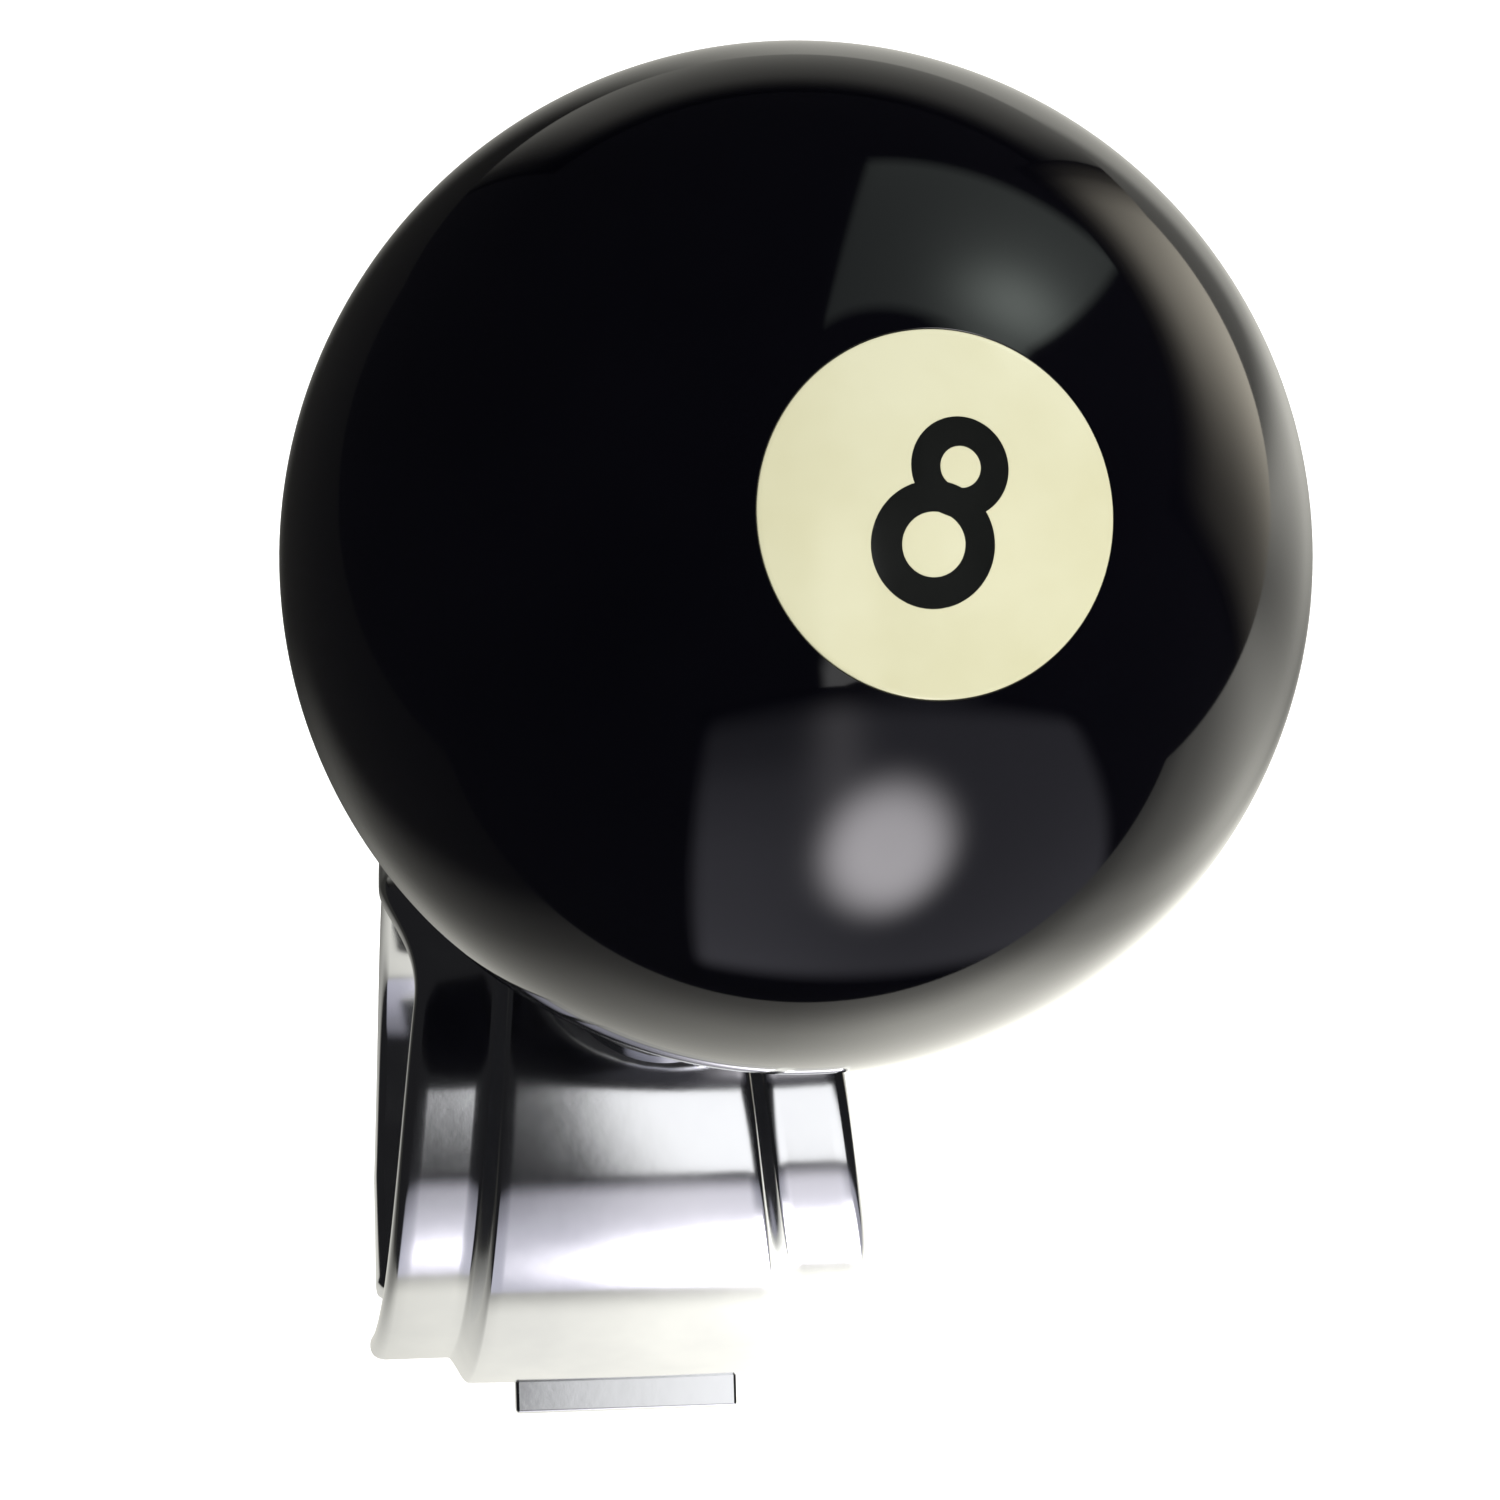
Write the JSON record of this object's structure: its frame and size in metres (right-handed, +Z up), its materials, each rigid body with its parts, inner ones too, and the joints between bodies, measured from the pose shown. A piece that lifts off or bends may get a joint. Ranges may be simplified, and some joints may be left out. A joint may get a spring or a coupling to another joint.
{
  "type": "steering wheel spinner knob",
  "caption": "Steering wheel spinner knob: a black number-eight ball turning on a bearing above a flared chrome clamp, its spindle leaning 8.4 degrees to one side, with a hinged lower jaw and a socket head bolt.",
  "frame": {"origin": "the point on the centre line of the gripped steering wheel rim that the axis of the knob's spindle passes through", "axes": "+Z up from the rim through the middle of the clamp, X along the wheel's rim, -Y towards the flared front of the clamp and the driver; the spindle leans 8.4 degrees from +Z towards +X"},
  "size_m": [0.0571, 0.0605, 0.1072],
  "materials": {
    "black_resin": "polished phenolic resin, near black with a faint blue cast",
    "ivory_resin": "polished ivory coloured resin, slightly mottled",
    "numeral_resin": "near black inlay, polished flush",
    "chrome": "bright chrome plate on steel",
    "zinc_steel": "zinc plated steel fasteners",
    "bearing_steel": "ground and polished bearing steel",
    "brass": "turned brass",
    "rubber": "moulded black rubber",
    "nylon": "black moulded nylon"
  },
  "bodies": {
    "clamp": {"saddle": "chrome", "saddle_liner": "rubber", "hinge_pin": "zinc_steel", "pin_clip": "zinc_steel", "clamp_nut": "zinc_steel", "spindle_stud": "zinc_steel", "bearing_spacer": "zinc_steel", "dust_washer": "nylon", "spindle_washer": "zinc_steel", "spindle_nut": "zinc_steel", "bearing_inner_ring": "bearing_steel"},
    "knob": {"ball_body": "black_resin", "number_disc": "ivory_resin", "numeral_eight": "numeral_resin", "ball_insert": "brass", "hub_collar": "chrome", "hub_circlip": "zinc_steel", "bearing_outer_ring": "bearing_steel"},
    "rollers": {"bearing_cage": "zinc_steel", "bearing_ball_1": "bearing_steel", "bearing_ball_2": "bearing_steel", "bearing_ball_3": "bearing_steel", "bearing_ball_4": "bearing_steel", "bearing_ball_5": "bearing_steel", "bearing_ball_6": "bearing_steel", "bearing_ball_7": "bearing_steel", "bearing_ball_8": "bearing_steel"},
    "jaw": {"lower_jaw": "chrome", "jaw_liner": "rubber"},
    "bolt_washers": {"clamp_flat_washer": "zinc_steel", "clamp_spring_washer": "zinc_steel"},
    "bolt": {"clamp_bolt": "zinc_steel"}
  },
  "joints": [
    {"name": "knob_spin", "type": "hinge", "parent": "clamp", "child": "knob", "pos_m": [0.00903, 0, 0.06114], "axis": [0.1461, 0, 0.9893], "continuous": true},
    {"name": "rollers_spin", "type": "hinge", "parent": "clamp", "child": "rollers", "pos_m": [0.00359, 0, 0.02431], "axis": [0.1461, 0, 0.9893], "continuous": true},
    {"name": "jaw_swing", "type": "hinge", "parent": "clamp", "child": "jaw", "pos_m": [0, -0.01261, -0.00985], "axis": [-1, 0, 0], "range_deg": [0, 56]},
    {"name": "bolt_travel", "type": "slide", "parent": "jaw", "child": "bolt_washers", "axis": [0, 0.5878, -0.809], "range_m": [0, 0.008]},
    {"name": "bolt_turn", "type": "hinge", "parent": "bolt_washers", "child": "bolt", "pos_m": [0, 0.01943, 0.01342], "axis": [0, 0.5878, -0.809], "range_deg": [0, 3600]}
  ],
  "couplings": [
    {"joint": "rollers_spin", "follows": "knob_spin", "ratio": 0.606},
    {"joint": "bolt_turn", "follows": "bolt_travel", "rad_per_m": 7854}
  ]
}
